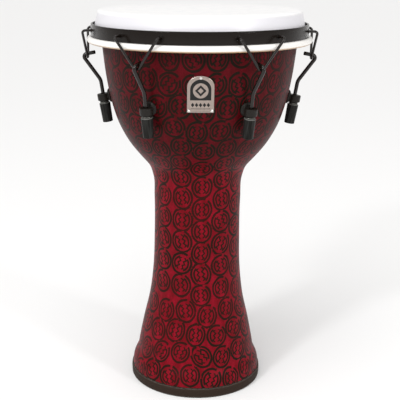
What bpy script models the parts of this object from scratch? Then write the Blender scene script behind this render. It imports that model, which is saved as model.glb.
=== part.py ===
"""Djembe: a goblet drum with a mechanically tuned head.

The drum stands on its foot, with the origin at the centre of the floor face, +Z up and -Y
towards the player. Six tuning stations stand round the bowl. At each one a wire hook hangs
from the counterhoop, a bent rod catches the hook, and a long nut under a lug pulls the rod down.
"""

import bmesh
import bpy
import numpy as np
from math import acos, atan2, cos, hypot, pi, radians, sin, tan
from mathutils import Matrix, Vector

GAP = 0.0003                     # clearance between pieces that touch

# Round bodies
SIDES = 48                       # facets round the drum
SMALL_SIDES = 12                 # facets round a washer or a hole
LUG_SIDES = 14                   # facets round a lug's eye, its base or a nut

# Shell: (radius, height) where its outer curve passes, from the foot to the rim
SHELL_CURVE = (
    (0.1070, 0.0170), (0.1052, 0.0300), (0.0976, 0.0485), (0.0954, 0.0610),
    (0.0876, 0.1000), (0.0783, 0.1400), (0.0721, 0.1900), (0.0702, 0.2450),
    (0.0702, 0.3100), (0.0724, 0.3480), (0.0792, 0.3660), (0.0912, 0.3800),
    (0.1075, 0.4000), (0.1250, 0.4300), (0.1372, 0.4650), (0.1463, 0.5100),
    (0.1512, 0.5500), (0.1555, 0.6000),
)
SHELL_WALL = 0.006
SHELL_OUTER_RINGS = 21
SHELL_INNER_RINGS = 11
SHELL_BOTTOM = 0.0045
SHELL_TOP = 0.6080
RABBET_RADIUS = 0.1056           # seat of the foot ring round the shell's lower edge
RABBET_TOP = 0.0162
RIM_INNER_EDGE = (0.0008, 0.0025)     # across and down, where the rim's round meets each wall
RIM_CREST_EDGE = (0.0020, 0.0005)
RIM_OUTER_EDGE = (0.0002, 0.0035)
DRILL_REACH = 0.0120                  # how far a hole's cutter goes each way

# Foot ring: a rubber channel round the lower edge of the shell
FOOT_RADIUS = 0.1090
FOOT_INNER_RADIUS = 0.0950
FOOT_HEIGHT = 0.0158
FOOT_EDGE = 0.0018               # rounding of the floor corners
FOOT_TOP_EDGE = 0.0012
FOOT_LIP_HEIGHT = 0.0120

# Head film
HEAD_TOP = 0.6100
FILM = 0.0015
HEAD_CORNER_RADIUS = 0.0043
HEAD_RADIUS = 0.1588
SKIRT_RADIUS = 0.1648
SKIRT_BOTTOM = 0.5630
SKIRT_TOP = 0.5720
COLLAR_POINT = (0.1624, 0.5890)

# Flesh hoop: the round hoop that the film is set in
FLESH_RADIUS = 0.1703
FLESH_HEIGHT = 0.5652
FLESH_TUBE = 0.0050
FLESH_TUBE_SIDES = 8

# Counterhoop: the flat band that presses on the flesh hoop
BAND_RADIUS = 0.1690
BAND_WALL = 0.0030
BAND_BOTTOM = 0.5706
BAND_TOP = 0.5893
BAND_EDGE = 0.0005
BAND_DRILL = 0.0080
HOLE_HEIGHT = 0.5795
HOLE_ANGLE = radians(11.5)       # of a hook's holes from the middle of its station
HOLE_RADIUS = 0.0026

# Tuning stations, counted from the drum's front round to the left
STATIONS = 6
FIRST_STATION = radians(-120.0)

# Rim hook: a V of wire, in a station's radial plane coordinates (radius, height)
HOOK_WIRE = 0.0020
HOOK_INNER_END = 0.1662
HOOK_CORNER = 0.1828
HOOK_VERTEX = (0.1750, 0.5314)
HOOK_CORNER_BEND = 0.0045
HOOK_VERTEX_BEND = 0.0058

# Tension rod: its straight part runs on a line that leans inwards going down
ROD_RADIUS = 0.0030
ROD_LEAN = radians(9.2)
ROD_POINT = (0.1515, 0.4725)     # where the rod's axis crosses the middle of the lug's eye
ROD_LOWER_END = 0.0320           # below that point, along the axis
ROD_KNEE = 0.0275                # above that point, along the axis
ROD_ELBOW = (0.1847, 0.5390)
ROD_TIP = (0.1642, 0.5430)
ROD_KNEE_BEND = 0.0180
ROD_ELBOW_BEND = 0.0048

# Lug: an eye for the rod on a domed base
EYE_RADIUS = 0.0098
EYE_HEIGHT = 0.0110
EYE_HOLE = 0.0037
EYE_CHAMFER = 0.0010
BOSS_RADIUS = 0.0072
BOSS_HEIGHT = 0.0018
BASE_RADIUS = 0.0110
BASE_HEIGHT = 0.0042
BASE_CENTRE = 0.4752             # height where the base's axis meets the shell

# Lug bolt and its washer, inside the shell
BOLT_RADIUS = 0.0030
BOLT_HOLE = 0.0036
BOLT_DEPTH = 0.0050              # reach of the bolt past the shell's outer face
BOLT_ROOT = 0.0010                    # how far the shank starts inside the head
BOLT_HEAD_RADIUS = 0.0058
BOLT_HEAD_HEIGHT = 0.0040
WASHER_RADIUS = 0.0072
WASHER_HEIGHT = 0.0014
WASHER_STANDOFF = 0.0018         # a flat washer on the curved inner wall

# Tuning nut and its washer, under the lug's eye
NUT_WASHER_RADIUS = 0.0072
NUT_WASHER_HEIGHT = 0.0016
NUT_TOP_RADIUS = 0.0088
NUT_BOTTOM_RADIUS = 0.0080
NUT_LENGTH = 0.0310
NUT_CHAMFER = 0.0010
NUT_BORE = 0.0036
KEY_SOCKET_RADIUS = 0.0052       # hexagonal recess for the tuning key
KEY_SOCKET_DEPTH = 0.0060

# Badge: an arched plate with three rivets
BADGE_ANGLE = radians(-88.8)
BADGE_WIDTH = 0.0385
BADGE_BOTTOM = 0.4725
BADGE_TOP = 0.5265
BADGE_ARCH = 0.0150              # height of the arched part
BADGE_PLATE = 0.0012
BADGE_COLUMNS = 10
BADGE_ROWS = 5
RIVET_RADIUS = 0.0012
RIVET_HEAD = 0.0024
RIVET_HEAD_HEIGHT = 0.0013
RIVET_HOLE = 0.0015
RIVET_HOLE_SIDES = 8
RIVET_TAIL = 0.0020
RIVET_INSET = 0.0028             # of the lower rivets from the plate's edges


def clear_scene():
    for item in list(bpy.data.objects):
        bpy.data.objects.remove(item, do_unlink=True)


def material(name, colour, roughness, metallic):
    made = bpy.data.materials.new(name)
    made.use_nodes = True
    shader = made.node_tree.nodes["Principled BSDF"]
    shader.inputs["Base Color"].default_value = (*colour, 1.0)
    shader.inputs["Roughness"].default_value = roughness
    shader.inputs["Metallic"].default_value = metallic
    return made


def place(name, data, finish, matrix=Matrix.Identity(4)):
    """Link a new object that shows data, in its own material."""
    item = bpy.data.objects.new(name, data)
    item.matrix_world = matrix
    bpy.context.scene.collection.objects.link(item)
    own = finish.copy()
    own.name = name
    if not data.materials:
        data.materials.append(own)
    item.material_slots[0].link = "OBJECT"
    item.material_slots[0].material = own
    return item


def smooth(mesh):
    mesh.shade_smooth()
    mesh.set_sharp_from_angle(angle=radians(35.0))


def evaluated_mesh(item):
    """The mesh that item's modifiers give, and item is removed."""
    bpy.context.view_layer.update()
    depsgraph = bpy.context.evaluated_depsgraph_get()
    mesh = bpy.data.meshes.new_from_object(item.evaluated_get(depsgraph))
    bpy.data.objects.remove(item, do_unlink=True)
    smooth(mesh)
    return mesh


def turned_mesh(outline, sides):
    """Turn a closed outline of (radius, height) points about Z.

    The outline runs down its outer side. It may start and end on the axis.
    """
    mesh = bpy.data.meshes.new("outline")
    points = [(radius, 0.0, height) for radius, height in outline]
    edges = [(index, index + 1) for index in range(len(points) - 1)]
    if outline[0][0] > 0.0:
        edges.append((len(points) - 1, 0))
    mesh.from_pydata(points, edges, [])
    item = bpy.data.objects.new("outline", mesh)
    bpy.context.scene.collection.objects.link(item)
    screw = item.modifiers.new("Screw", "SCREW")
    screw.axis = "Z"
    screw.angle = 2.0 * pi
    screw.steps = sides
    screw.render_steps = sides
    screw.use_merge_vertices = True
    screw.merge_threshold = 0.00001
    return evaluated_mesh(item)


def cut(mesh, cutters, operation="DIFFERENCE"):
    """Boolean the cutter meshes, given as (mesh, matrix), with mesh."""
    item = bpy.data.objects.new("blank", mesh)
    bpy.context.scene.collection.objects.link(item)
    tools = []
    for shape, matrix in cutters:
        tool = bpy.data.objects.new("tool", shape)
        tool.matrix_world = matrix
        bpy.context.scene.collection.objects.link(tool)
        tools.append(tool)
        boolean = item.modifiers.new("Boolean", "BOOLEAN")
        boolean.operation = operation
        boolean.solver = "EXACT"
        boolean.object = tool
    result = evaluated_mesh(item)
    for tool in tools:
        bpy.data.objects.remove(tool, do_unlink=True)
    return result


def rod_mesh(radius, low, high, sides):
    """A plain round bar along Z, for cutting holes and for shanks."""
    return turned_mesh([(0.0, high), (radius, high), (radius, low), (0.0, low)], sides)


def arc(centre, radius, start, end, steps):
    """Points of an arc in the (radius, height) plane."""
    angles = np.linspace(start, end, steps)
    return [(centre[0] + radius * cos(a), centre[1] + radius * sin(a)) for a in angles]


def filleted(points, bends, steps):
    """A path through points whose inner corners are rounded to the bend radii."""
    path = [points[0]]
    for before, corner, after, bend in zip(points, points[1:], points[2:], bends):
        to_before = (before - corner).normalized()
        to_after = (after - corner).normalized()
        half = acos(max(-1.0, min(1.0, to_before.dot(to_after)))) / 2.0
        centre = corner + (to_before + to_after).normalized() * (bend / sin(half))
        start = corner + to_before * (bend / tan(half)) - centre
        end = corner + to_after * (bend / tan(half)) - centre
        sweep = start.angle(end)
        for step in range(steps + 1):
            share = step / steps
            spoke = (start * sin((1.0 - share) * sweep) + end * sin(share * sweep)) / sin(sweep)
            path.append(centre + spoke)
    path.append(points[-1])
    return path


def wire_mesh(path, radius, rings):
    """A round wire along a path, with closed ends."""
    curve = bpy.data.curves.new("wire", "CURVE")
    curve.dimensions = "3D"
    curve.bevel_depth = radius
    curve.bevel_resolution = rings
    curve.use_fill_caps = True
    spline = curve.splines.new("POLY")
    spline.points.add(len(path) - 1)
    for point, position in zip(spline.points, path):
        point.co = (*position, 1.0)
    item = bpy.data.objects.new("wire", curve)
    bpy.context.scene.collection.objects.link(item)
    return evaluated_mesh(item)


def shell_radius_function():
    """The shell's outer radius at any height, on a smooth curve through its points."""
    heights = [height for _, height in SHELL_CURVE]
    radii = [radius for radius, _ in SHELL_CURVE]
    slopes = np.gradient(radii, heights)

    def radius_at(height):
        index = int(np.clip(np.searchsorted(heights, height) - 1, 0, len(heights) - 2))
        span = heights[index + 1] - heights[index]
        t = (height - heights[index]) / span
        ends = (2 * t**3 - 3 * t**2 + 1) * radii[index] + (3 * t**2 - 2 * t**3) * radii[index + 1]
        turns = (t**3 - 2 * t**2 + t) * slopes[index] + (t**3 - t**2) * slopes[index + 1]
        return float(ends + turns * span)

    return radius_at


shell_radius = shell_radius_function()


def shell_slope(height):
    step = 0.001
    return (shell_radius(height + step) - shell_radius(height - step)) / (2.0 * step)


def shell_inner_radius(height):
    """The wall keeps its thickness where the shell slopes."""
    return shell_radius(height) - SHELL_WALL * hypot(1.0, shell_slope(height))


def ring_heights(low, high, count):
    """Heights from low to high, evenly spaced along the shell's outer curve."""
    fine = np.linspace(low, high, 400)
    radii = np.array([shell_radius(height) for height in fine])
    length = np.concatenate([[0.0], np.cumsum(np.hypot(np.diff(fine), np.diff(radii)))])
    return np.interp(np.linspace(0.0, length[-1], count), length, fine)


def station_matrix(index, radius=0.0, height=0.0):
    """A frame at a tuning station: X outwards, Z up."""
    angle = FIRST_STATION - index * 2.0 * pi / STATIONS
    return Matrix.Rotation(angle, 4, "Z") @ Matrix.Translation((radius, 0.0, height))


def rod_axis_point(distance):
    """(radius, height) on the rod's axis, above its point in the eye."""
    return (ROD_POINT[0] + distance * sin(ROD_LEAN), ROD_POINT[1] + distance * cos(ROD_LEAN))


def rod_axis_matrix(distance):
    """A station's frame with Z along the rod's axis."""
    radius, height = rod_axis_point(distance)
    return Matrix.Translation((radius, 0.0, height)) @ Matrix.Rotation(ROD_LEAN, 4, "Y")


def bolt_axis_matrix():
    """A station's frame with Z along the shell's outward normal at the lug's base."""
    lean = pi / 2.0 + atan2(shell_slope(BASE_CENTRE), 1.0)
    place_base = Matrix.Translation((shell_radius(BASE_CENTRE), 0.0, BASE_CENTRE))
    return place_base @ Matrix.Rotation(lean, 4, "Y")


def badge_surface(across, height):
    """A point on the shell under the badge, from the distance across it and the height."""
    radius = shell_radius(height)
    angle = BADGE_ANGLE + across / radius
    return Vector((radius * cos(angle), radius * sin(angle), height))


def badge_matrix(across, height):
    """A frame on the shell under the badge, with Z along the outward normal."""
    angle = BADGE_ANGLE + across / shell_radius(height)
    lean = pi / 2.0 + atan2(shell_slope(height), 1.0)
    place_here = Matrix.Translation(badge_surface(across, height))
    return place_here @ Matrix.Rotation(angle, 4, "Z") @ Matrix.Rotation(lean, 4, "Y")


def rivet_places():
    side = BADGE_WIDTH / 2.0 - RIVET_INSET
    return {
        "top": badge_matrix(0.0, BADGE_TOP - RIVET_INSET),
        "left": badge_matrix(-side, BADGE_BOTTOM + RIVET_INSET),
        "right": badge_matrix(side, BADGE_BOTTOM + RIVET_INSET),
    }


def make_shell(finish):
    low = SHELL_CURVE[0][1]
    high = SHELL_CURVE[-1][1]
    outer = [(shell_radius(h), h) for h in ring_heights(low, high, SHELL_OUTER_RINGS)[::-1]]
    inner = [(shell_inner_radius(h), h) for h in ring_heights(low, high, SHELL_INNER_RINGS)]
    edge_out = outer[0][0]
    edge_in = inner[-1][0]
    middle = (edge_out + edge_in) / 2.0
    rim = [(edge_in + RIM_INNER_EDGE[0], SHELL_TOP - RIM_INNER_EDGE[1]), (middle, SHELL_TOP),
           (middle + RIM_CREST_EDGE[0], SHELL_TOP - RIM_CREST_EDGE[1]),
           (edge_out - RIM_OUTER_EDGE[0], SHELL_TOP - RIM_OUTER_EDGE[1])]
    foot = [(RABBET_RADIUS, RABBET_TOP), (RABBET_RADIUS, SHELL_BOTTOM),
            (RABBET_RADIUS - SHELL_WALL, SHELL_BOTTOM)]
    blank = turned_mesh(rim + outer + foot + inner, SIDES)
    drill = rod_mesh(BOLT_HOLE, -DRILL_REACH, DRILL_REACH, SMALL_SIDES)
    holes = [(drill, station_matrix(i) @ bolt_axis_matrix()) for i in range(STATIONS)]
    small_drill = rod_mesh(RIVET_HOLE, -DRILL_REACH, DRILL_REACH, RIVET_HOLE_SIDES)
    holes += [(small_drill, matrix) for matrix in rivet_places().values()]
    return place("shell", cut(blank, holes), finish)


def make_foot_ring(finish):
    seat = RABBET_RADIUS + GAP
    lip = RABBET_RADIUS - SHELL_WALL - GAP
    low_out = arc((FOOT_RADIUS - FOOT_EDGE, FOOT_EDGE), FOOT_EDGE, 0.0, -pi / 2.0, 3)
    low_in = arc((FOOT_INNER_RADIUS + FOOT_EDGE, FOOT_EDGE), FOOT_EDGE, -pi / 2.0, -pi, 3)
    outline = [(seat, FOOT_HEIGHT), (FOOT_RADIUS - FOOT_TOP_EDGE, FOOT_HEIGHT)]
    outline += low_out + low_in
    outline += [(FOOT_INNER_RADIUS + FOOT_TOP_EDGE, FOOT_LIP_HEIGHT), (lip, FOOT_LIP_HEIGHT),
                (lip, SHELL_BOTTOM - GAP), (seat, SHELL_BOTTOM - GAP)]
    return place("foot_ring", turned_mesh(outline, SIDES), finish)


def make_head_film(finish):
    centre = (HEAD_RADIUS - HEAD_CORNER_RADIUS, HEAD_TOP - HEAD_CORNER_RADIUS)
    outer = [(0.0, HEAD_TOP)]
    outer += arc(centre, HEAD_CORNER_RADIUS, pi / 2.0, 0.0, 4)
    outer += [COLLAR_POINT, (SKIRT_RADIUS, SKIRT_TOP), (SKIRT_RADIUS, SKIRT_BOTTOM)]
    inner = [(SKIRT_RADIUS - FILM, SKIRT_BOTTOM), (SKIRT_RADIUS - FILM, SKIRT_TOP),
             (COLLAR_POINT[0] - FILM, COLLAR_POINT[1])]
    inner += arc(centre, HEAD_CORNER_RADIUS - FILM, 0.0, pi / 2.0, 3)
    inner.append((0.0, HEAD_TOP - FILM))
    return place("head_film", turned_mesh(outer + inner, SIDES), finish)


def make_flesh_hoop(finish):
    outline = arc((FLESH_RADIUS, FLESH_HEIGHT), FLESH_TUBE, pi / 2.0, -1.5 * pi,
                  FLESH_TUBE_SIDES + 1)[:-1]
    return place("flesh_hoop", turned_mesh(outline, SIDES), finish)


def make_counterhoop(finish):
    inner = BAND_RADIUS - BAND_WALL
    outline = [(inner, BAND_TOP), (BAND_RADIUS - BAND_EDGE, BAND_TOP),
               (BAND_RADIUS, BAND_TOP - BAND_EDGE), (BAND_RADIUS, BAND_BOTTOM), (inner, BAND_BOTTOM)]
    blank = turned_mesh(outline, SIDES)
    drill = rod_mesh(HOLE_RADIUS, -BAND_DRILL, BAND_DRILL, 10)
    holes = []
    for index in range(STATIONS):
        for side in (-1, 1):
            aim = Matrix.Rotation(side * HOLE_ANGLE, 4, "Z")
            reach = Matrix.Translation((BAND_RADIUS, 0.0, HOLE_HEIGHT))
            turn = Matrix.Rotation(pi / 2.0, 4, "Y")
            holes.append((drill, station_matrix(index) @ aim @ reach @ turn))
    return place("counterhoop", cut(blank, holes), finish)


def hook_point(radius, height, angle):
    """A point of a hook relative to its hinge, which runs through its two holes."""
    hinge = (BAND_RADIUS - BAND_WALL / 2.0) * cos(HOLE_ANGLE)
    return Vector((radius * cos(angle) - hinge, radius * sin(angle), height - HOLE_HEIGHT))


def make_rim_hooks(finish):
    points = [
        hook_point(HOOK_INNER_END, HOLE_HEIGHT, -HOLE_ANGLE),
        hook_point(HOOK_CORNER, HOLE_HEIGHT, -HOLE_ANGLE),
        hook_point(*HOOK_VERTEX, 0.0),
        hook_point(HOOK_CORNER, HOLE_HEIGHT, HOLE_ANGLE),
        hook_point(HOOK_INNER_END, HOLE_HEIGHT, HOLE_ANGLE),
    ]
    bends = (HOOK_CORNER_BEND, HOOK_VERTEX_BEND, HOOK_CORNER_BEND)
    mesh = wire_mesh(filleted(points, bends, 3), HOOK_WIRE, 2)
    hinge = (BAND_RADIUS - BAND_WALL / 2.0) * cos(HOLE_ANGLE)
    for index in range(STATIONS):
        place(f"rim_hook_{index + 1}", mesh, finish, station_matrix(index, hinge, HOLE_HEIGHT))


def make_tension_rods(finish):
    def local(point):
        return Vector((point[0] - ROD_POINT[0], 0.0, point[1] - ROD_POINT[1]))

    points = [local(rod_axis_point(-ROD_LOWER_END)), local(rod_axis_point(ROD_KNEE)),
              local(ROD_ELBOW), local(ROD_TIP)]
    path = filleted(points, (ROD_KNEE_BEND, ROD_ELBOW_BEND), 4)
    mesh = wire_mesh(path, ROD_RADIUS, 3)
    for index in range(STATIONS):
        place(f"tension_rod_{index + 1}", mesh, finish, station_matrix(index, *ROD_POINT))


def lug_mesh():
    """The lug in its station's frame: eye, boss and base in one casting."""
    half = EYE_HEIGHT / 2.0
    eye = turned_mesh([
        (0.0, half), (EYE_RADIUS - EYE_CHAMFER, half), (EYE_RADIUS, half - EYE_CHAMFER),
        (EYE_RADIUS, -half), (BOSS_RADIUS, -half), (BOSS_RADIUS, -half - BOSS_HEIGHT),
        (0.0, -half - BOSS_HEIGHT)], LUG_SIDES)
    base = turned_mesh([
        (0.0, BASE_HEIGHT), (BASE_RADIUS * 0.70, BASE_HEIGHT), (BASE_RADIUS, BASE_HEIGHT * 0.4),
        (BASE_RADIUS, 0.0), (0.0, 0.0)], LUG_SIDES)
    eye_frame = rod_axis_matrix(0.0)
    base_frame = bolt_axis_matrix() @ Matrix.Translation((0.0, 0.0, GAP))
    eye.transform(eye_frame)
    joined = cut(eye, [(base, base_frame)], "UNION")
    rod_hole = rod_mesh(EYE_HOLE, -0.02, 0.02, SMALL_SIDES)
    bolt_hole = rod_mesh(BOLT_RADIUS + GAP, -0.002, BOLT_DEPTH + GAP, 10)
    return cut(joined, [(rod_hole, eye_frame), (bolt_hole, bolt_axis_matrix())])


def make_lugs(finish):
    mesh = lug_mesh()
    for index in range(STATIONS):
        place(f"lug_{index + 1}", mesh, finish, station_matrix(index))


def washer_mesh(radius, hole, height):
    return turned_mesh([(hole, height), (radius, height), (radius, 0.0), (hole, 0.0)], SMALL_SIDES)


def make_lug_bolts(finish):
    """A hexagon bolt and a washer inside the shell behind each lug."""
    washer_out = -SHELL_WALL - WASHER_STANDOFF
    washer_in = washer_out - WASHER_HEIGHT
    shank = rod_mesh(BOLT_RADIUS, washer_in - GAP - BOLT_ROOT, BOLT_DEPTH, 10)
    head = rod_mesh(BOLT_HEAD_RADIUS, washer_in - GAP - BOLT_HEAD_HEIGHT, washer_in - GAP, 6)
    bolt = cut(head, [(shank, Matrix.Identity(4))], "UNION")
    washer = washer_mesh(WASHER_RADIUS, BOLT_HOLE, WASHER_HEIGHT)
    for index in range(STATIONS):
        frame = station_matrix(index) @ bolt_axis_matrix()
        place(f"lug_bolt_{index + 1}", bolt, finish, frame)
        seat = frame @ Matrix.Translation((0.0, 0.0, washer_in))
        place(f"lug_washer_{index + 1}", washer, finish, seat)


def nut_mesh():
    """The nut in its own frame: Z along its axis, the origin at its top face."""
    blank = turned_mesh([
        (NUT_BORE, 0.0), (NUT_TOP_RADIUS - NUT_CHAMFER, 0.0),
        (NUT_TOP_RADIUS, -NUT_CHAMFER), (NUT_BOTTOM_RADIUS, -NUT_LENGTH + NUT_CHAMFER),
        (NUT_BOTTOM_RADIUS - NUT_CHAMFER, -NUT_LENGTH), (NUT_BORE, -NUT_LENGTH)], LUG_SIDES)
    socket = rod_mesh(KEY_SOCKET_RADIUS, -NUT_LENGTH - KEY_SOCKET_DEPTH, -NUT_LENGTH + KEY_SOCKET_DEPTH, 6)
    return cut(blank, [(socket, Matrix.Identity(4))])


def make_tuning_nuts(nut_finish, washer_finish):
    washer_top = -EYE_HEIGHT / 2.0 - BOSS_HEIGHT - GAP
    nut_top = washer_top - NUT_WASHER_HEIGHT - GAP
    washer = washer_mesh(NUT_WASHER_RADIUS, NUT_BORE, NUT_WASHER_HEIGHT)
    nut = nut_mesh()
    for index in range(STATIONS):
        frame = station_matrix(index)
        seat = frame @ rod_axis_matrix(washer_top - NUT_WASHER_HEIGHT)
        place(f"nut_washer_{index + 1}", washer, washer_finish, seat)
        place(f"tuning_nut_{index + 1}", nut, nut_finish, frame @ rod_axis_matrix(nut_top))


def badge_top_at(across):
    """The plate's upper edge: an arch over straight sides."""
    share = abs(across) / (BADGE_WIDTH / 2.0)
    return BADGE_TOP - BADGE_ARCH * (1.0 - (1.0 - share**2) ** 0.5)


def make_badge(finish, rivet_finish):
    mesh = bpy.data.meshes.new("badge_plate")
    work = bmesh.new()
    layers = []
    for lift in (2.0 * GAP, 2.0 * GAP + BADGE_PLATE):
        grid = []
        for column in range(BADGE_COLUMNS + 1):
            across = BADGE_WIDTH * (column / BADGE_COLUMNS - 0.5)
            heights = np.linspace(BADGE_BOTTOM, badge_top_at(across), BADGE_ROWS + 1)
            frames = [badge_matrix(across, height) for height in heights]
            grid.append([work.verts.new(frame @ Vector((0.0, 0.0, lift))) for frame in frames])
        layers.append(grid)
    back, front = layers
    for column in range(BADGE_COLUMNS):
        for row in range(BADGE_ROWS):
            corners = ((column, row), (column + 1, row), (column + 1, row + 1), (column, row + 1))
            work.faces.new([front[i][j] for i, j in corners])
            work.faces.new([back[i][j] for i, j in reversed(corners)])
    rim = [(column, 0) for column in range(BADGE_COLUMNS)]
    rim += [(BADGE_COLUMNS, row) for row in range(BADGE_ROWS)]
    rim += [(column, BADGE_ROWS) for column in range(BADGE_COLUMNS, 0, -1)]
    rim += [(0, row) for row in range(BADGE_ROWS, 0, -1)]
    for (i, j), (k, l) in zip(rim, rim[1:] + rim[:1]):
        work.faces.new([front[k][l], front[i][j], back[i][j], back[k][l]])
    bmesh.ops.recalc_face_normals(work, faces=work.faces)
    work.to_mesh(mesh)
    work.free()
    drill = rod_mesh(RIVET_HOLE, -DRILL_REACH, DRILL_REACH, RIVET_HOLE_SIDES)
    places = rivet_places()
    plate = cut(mesh, [(drill, matrix) for matrix in places.values()])
    place("badge_plate", plate, finish)
    top = 3.0 * GAP + BADGE_PLATE
    rivet = turned_mesh([
        (0.0, top + RIVET_HEAD_HEIGHT), (RIVET_HEAD * 0.6, top + RIVET_HEAD_HEIGHT * 0.8),
        (RIVET_HEAD, top), (RIVET_RADIUS, top), (RIVET_RADIUS, -SHELL_WALL - RIVET_TAIL),
        (0.0, -SHELL_WALL - RIVET_TAIL)], 10)
    for side, matrix in places.items():
        place(f"badge_rivet_{side}", rivet, rivet_finish, matrix)


def main():
    clear_scene()
    make_shell(material("printed shell", (0.30, 0.015, 0.035), 0.35, 0.0))
    make_foot_ring(material("rubber", (0.045, 0.035, 0.028), 0.75, 0.0))
    make_head_film(material("drum film", (0.93, 0.92, 0.91), 0.45, 0.0))
    make_flesh_hoop(material("white hoop", (0.90, 0.89, 0.86), 0.40, 0.0))
    black = material("black enamel", (0.012, 0.012, 0.013), 0.20, 0.0)
    make_counterhoop(black)
    make_rim_hooks(black)
    make_tension_rods(black)
    make_lugs(material("black casting", (0.014, 0.013, 0.012), 0.42, 0.0))
    steel = material("zinc steel", (0.45, 0.45, 0.46), 0.35, 1.0)
    make_lug_bolts(steel)
    make_tuning_nuts(material("dark steel", (0.035, 0.037, 0.038), 0.38, 0.6), steel)
    bright = material("champagne metal", (0.75, 0.68, 0.55), 0.28, 1.0)
    make_badge(bright, bright)


main()
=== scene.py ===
"""The looks of the djembe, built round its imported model.

Every piece stands for one node of the model and rides on that node's body. Lengths are in metres,
in the model's frame: the origin on the floor under the drum's axis, +Z up and -Y to the player.
"""

from math import acos, atan2, cos, hypot, pi, radians, sin, tan

import bmesh
import bpy
import numpy as np
from mathutils import Matrix, Vector, kdtree


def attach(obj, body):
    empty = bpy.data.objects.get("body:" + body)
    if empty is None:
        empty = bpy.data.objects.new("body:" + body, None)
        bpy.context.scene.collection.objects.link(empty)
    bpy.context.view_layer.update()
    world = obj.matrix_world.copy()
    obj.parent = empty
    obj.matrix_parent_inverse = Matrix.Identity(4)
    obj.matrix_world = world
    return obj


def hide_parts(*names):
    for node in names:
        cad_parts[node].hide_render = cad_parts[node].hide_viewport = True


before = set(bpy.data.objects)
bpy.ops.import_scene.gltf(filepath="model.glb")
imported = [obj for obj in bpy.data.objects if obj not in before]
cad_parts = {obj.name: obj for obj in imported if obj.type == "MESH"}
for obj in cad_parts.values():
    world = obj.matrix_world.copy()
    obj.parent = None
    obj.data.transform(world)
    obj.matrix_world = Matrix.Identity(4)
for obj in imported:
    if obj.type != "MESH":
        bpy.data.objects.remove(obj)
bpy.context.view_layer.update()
STATIONS = sum(name.startswith("tension_rod_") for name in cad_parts)
FIRST_STATION = radians(-120.0)
HERE = Matrix.Identity(4)
GAP = 0.0003  # clearance between pieces that touch
ROUND = 192  # sides of the large round pieces
SMALL_ROUND = 48  # of lugs, nuts and washers
BORE_ROUND = 32  # of a lug's hole, an eyelet or a rivet
SHAFT_ROUND = 24  # of rods, shanks and the band's drill
WIRE_ROUND = 20  # of the hooks' wire
SWEEP_STEP = 0.004  # between the rings of a bent bar
MILLIMETRE = 1000.0  # millimetres in a metre

# Shell: (radius, height) where its outer curve passes, from the foot to the rim
SHELL_CURVE = (
    (0.1070, 0.0170), (0.1052, 0.0300), (0.0976, 0.0485), (0.0954, 0.0610),
    (0.0876, 0.1000), (0.0783, 0.1400), (0.0721, 0.1900), (0.0702, 0.2450),
    (0.0702, 0.3100), (0.0724, 0.3480), (0.0792, 0.3660), (0.0912, 0.3800),
    (0.1075, 0.4000), (0.1250, 0.4300), (0.1372, 0.4650), (0.1463, 0.5100),
    (0.1512, 0.5500), (0.1555, 0.6000),
)
CURVE_LOW = SHELL_CURVE[0][1]
CURVE_HIGH = SHELL_CURVE[-1][1]
SHELL_WALL = 0.006
SHELL_BOTTOM = 0.0045
SHELL_TOP = 0.6080
SHELL_STEP = 0.0022  # between the rings of its outer wall
INNER_HIGH = 0.5990
INNER_RINGS = 90
RIM_RINGS = 9
RABBET_RADIUS = 0.1056
RABBET_TOP = 0.0162
BOWL_SHADE = (0.345, 0.420)  # heights between which painted shade darkens the print over the bowl

# Printed medallions of the shell
PRINT_PITCH = 0.0348  # from one to the next along a row
PRINT_ROW = 0.0362  # from row to row
PRINT_FIRST_ROW = 0.4  # of a row, from the foot to the first one
PRINT_RADIUS = 0.0181
PRINT_REACH = 0.0368  # two centres nearer than this push each other apart
PRINT_PUSHES = 25
PRINT_PUSH_SHARE = 0.22
PRINT_MARGIN = 0.004  # kept free at both ends of the wall
PRINT_SEED = 12
PRINT_TILT = (-0.12, 0.30)  # mean and spread
PRINT_WIDTHS = (0.86, 1.00)  # least and most
PRINT_HEIGHTS = (0.98, 1.12)
STEM_SLIP = 0.3  # of a row, either way, for a column of the stem
BOWL_SLIP = 0.12  # the same for one medallion anywhere else
SLIP_TURN = 0.16  # radians round the drum for a slip of one row
WALL_SAMPLES = 3000

# Lines of a medallion, as shares of its radius
LINE_BLUR = 0.02
OUTER_RING = (0.93, 0.105)  # radius and half the line's width
INNER_RING = (0.66, 0.085)
RING_GAP = 1.15  # radians round to the middle of the outer ring's gap
ZIGZAG_HALF = 0.096  # half the line's width
ZIGZAG_FOLDS = 5.2  # in one radius
ZIGZAG_SWING = 0.20
ZIGZAGS = ((-0.25, 0.0, -0.60, 0.54), (0.23, 0.9, -0.54, 0.62))  # centre, phase, low, high

# Foot ring: corners of its section, as (radius, height, bend)
FOOT_SECTION = (
    (0.1062, 0.0158, 0.0004), (0.1084, 0.0158, 0.0009), (0.1090, 0.0110, 0.0040),
    (0.1086, 0.0000, 0.0016), (0.0952, 0.0000, 0.0014), (0.0952, 0.0120, 0.0012),
    (0.0990, 0.0120, 0.0), (0.0990, 0.0042, 0.0), (0.1062, 0.0042, 0.0),
)
TOP_EDGE_HIGHLIGHT = (0.0135, 0.0156)  # heights between which the painted highlight along the top edge comes in
# Heights between which the scuffs along the floor edge come in
SCUFFED_FLOOR = (0.0035, 0.0006)

# Head film
HEAD_TOP = 0.6100
FILM = 0.0015
HEAD_FLAT = (0.02, 0.15)  # radii of the playing face's first and last rings
HEAD_CORNER = (0.1545, 0.6057)  # centre of the round over the bearing edge
HEAD_CORNER_RADIUS = 0.0043
HEAD_CORNER_END = 0.05  # radians above level, where that round ends
COLLAR = (
    (0.1596, 0.6010), (0.1608, 0.5960), (0.1622, 0.5900), (0.1640, 0.5790), (0.1647, 0.5720),
    (0.1648, 0.5630),
)
COAT_EDGE = (0.6086, 0.6035)  # heights between which the coated face gives way to bare film, greyed in part with painted shade
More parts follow.
